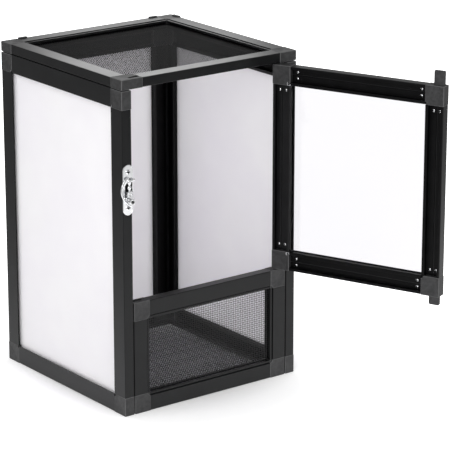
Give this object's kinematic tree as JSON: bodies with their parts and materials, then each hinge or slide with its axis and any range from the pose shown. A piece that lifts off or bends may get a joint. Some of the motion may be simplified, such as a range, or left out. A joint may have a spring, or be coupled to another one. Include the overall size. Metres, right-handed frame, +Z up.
{
  "type": "terrarium",
  "caption": "Upright reptile cage of black bar frames with white sheet walls, net top, floor and lower front, and a clear hinged door held by a turn hook.",
  "frame": {"origin": "middle of the underside of the lower front frame's bottom rail, on the surface that the cage stands on", "axes": "+X to the right seen from the front, +Y towards the back, +Z up"},
  "size_m": [0.3742, 0.5206, 0.4695],
  "materials": {
    "bar": "black anodised, satin",
    "block": "moulded black, fine grain",
    "sheet": "smooth white",
    "clear": "clear, polished",
    "net": "black coated fine net",
    "chrome": "polished",
    "steel": "zinc plated"
  },
  "bodies": {
    "cage": {"back_bottom_rail": "bar", "back_left_stile": "bar", "back_right_stile": "bar", "back_sheet": "sheet", "back_top_rail": "bar", "floor_net": "net", "floor_ring": "bar", "hook_pivot": "chrome", "hook_plate": "chrome", "hook_spring": "steel", "left_back_bottom_block": "block", "left_back_stile": "bar", "left_back_top_block": "block", "left_bottom_rail": "bar", "left_front_bottom_block": "block", "left_front_stile": "bar", "left_front_top_block": "block", "left_sheet": "sheet", "left_top_rail": "bar", "lid_back_left_block": "block", "lid_back_rail": "bar", "lid_back_right_block": "block", "lid_front_left_block": "block", "lid_front_rail": "bar", "lid_front_right_block": "block", "lid_left_rail": "bar", "lid_net": "net", "lid_right_rail": "bar", "lower_bottom_left_block": "block", "lower_bottom_rail": "bar", "lower_bottom_right_block": "block", "lower_hinge_pin": "chrome", "lower_left_stile": "bar", "lower_net": "net", "lower_plate_screw": "steel", "lower_right_stile": "bar", "lower_top_left_block": "block", "lower_top_rail": "bar", "lower_top_right_block": "block", "right_back_stile": "bar", "right_bottom_rail": "bar", "right_front_stile": "bar", "right_sheet": "sheet", "right_top_rail": "bar", "upper_hinge_pin": "chrome", "upper_plate_screw": "steel"},
    "door": {"door_bottom_rail": "bar", "door_clear_sheet": "clear", "door_free_stile": "bar", "door_hinge_stile": "bar", "door_lower_free_block": "block", "door_lower_hinge_block": "block", "door_stud": "chrome", "door_top_rail": "bar", "door_upper_free_block": "block", "door_upper_hinge_block": "block"},
    "hook": {"turn_hook": "chrome"},
    "upper_bolt": {"door_upper_bolt": "block"},
    "lower_bolt": {"door_lower_bolt": "block"}
  },
  "joints": [
    {"name": "door_hinge", "type": "hinge", "parent": "cage", "child": "door", "pos_m": [0.12125, -0.00375, 0.3045], "axis": [0, 0, 1], "range_deg": [-112.5, 14.5]},
    {"name": "hook_turn", "type": "hinge", "parent": "cage", "child": "hook", "pos_m": [-0.13725, -0.01055, 0.303], "axis": [0, 1, 0], "range_deg": [0, 90]},
    {"name": "upper_bolt_slide", "type": "slide", "parent": "door", "child": "upper_bolt", "axis": [0, 0, 1], "range_m": [-0.02, 0]},
    {"name": "lower_bolt_slide", "type": "slide", "parent": "door", "child": "lower_bolt", "axis": [0, 0, 1], "range_m": [0, 0.0126]}
  ]
}
